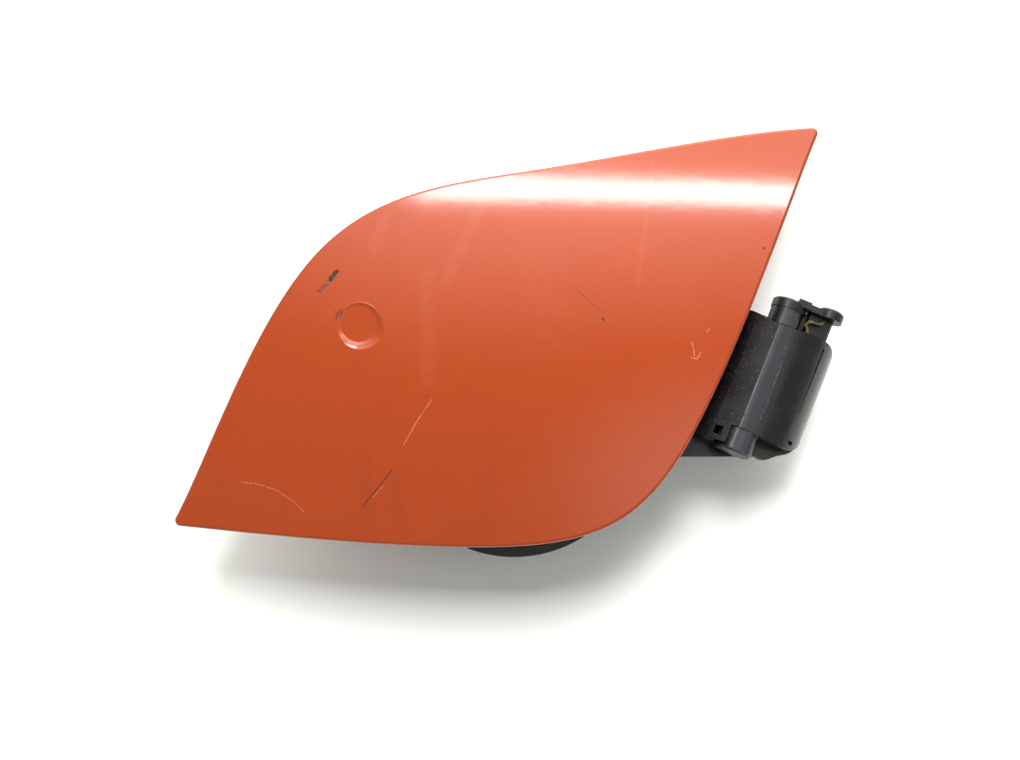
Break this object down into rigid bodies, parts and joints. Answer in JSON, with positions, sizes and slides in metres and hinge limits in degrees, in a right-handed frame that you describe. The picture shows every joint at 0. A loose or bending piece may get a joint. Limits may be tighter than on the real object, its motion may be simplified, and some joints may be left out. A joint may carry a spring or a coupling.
{
  "type": "car fuel door",
  "caption": "Leaf-shaped painted car fuel door on a gooseneck hinge with its black filler pocket, hinge box and push-push latch.",
  "frame": {"origin": "bottom centre of the filler bore, level with the foot of the collar", "axes": "+Y along the hinge pin, +Z out of the car through the closed door"},
  "size_m": [0.1862, 0.2111, 0.06],
  "materials": {
    "skin_paint": "orange metallic paint on plastic, gloss",
    "black_plastic": "satin, dusty",
    "dark_plastic": "satin",
    "soft_rubber": "semi-gloss",
    "pin_steel": "ground",
    "zinc_wire": "yellow zinc",
    "screw_zinc": "zinc"
  },
  "bodies": {
    "pocket": {"filler_pocket": "black_plastic", "neck_seal": "soft_rubber", "body_seal": "soft_rubber", "hinge_skirt": "soft_rubber", "hinge_pin": "pin_steel", "pin_link": "black_plastic", "hinge_spring": "zinc_wire", "latch_body": "dark_plastic", "latch_cap": "dark_plastic", "latch_gasket": "soft_rubber", "latch_spring": "pin_steel", "latch_follower": "pin_steel", "rim_bumpers": "soft_rubber"},
    "door": {"door_skin": "skin_paint", "hinge_arm": "black_plastic", "arm_screws": "screw_zinc", "striker_pad": "dark_plastic"},
    "plunger": {"latch_plunger": "dark_plastic", "latch_tip": "soft_rubber"}
  },
  "joints": [
    {"name": "door_hinge", "type": "hinge", "parent": "pocket", "child": "door", "pos_m": [0.072, 0.048, 0.044], "axis": [0, 1, 0], "range_deg": [0, 100], "deforming": ["hinge_spring"]},
    {"name": "latch_plunger", "type": "slide", "parent": "pocket", "child": "plunger", "axis": [0, 0, 1], "range_m": [0, 0.009], "deforming": ["latch_spring"]}
  ],
  "couplings": [
    {"joint": "latch_plunger", "follows": "door_hinge", "m_per_rad": 0.0051566}
  ]
}
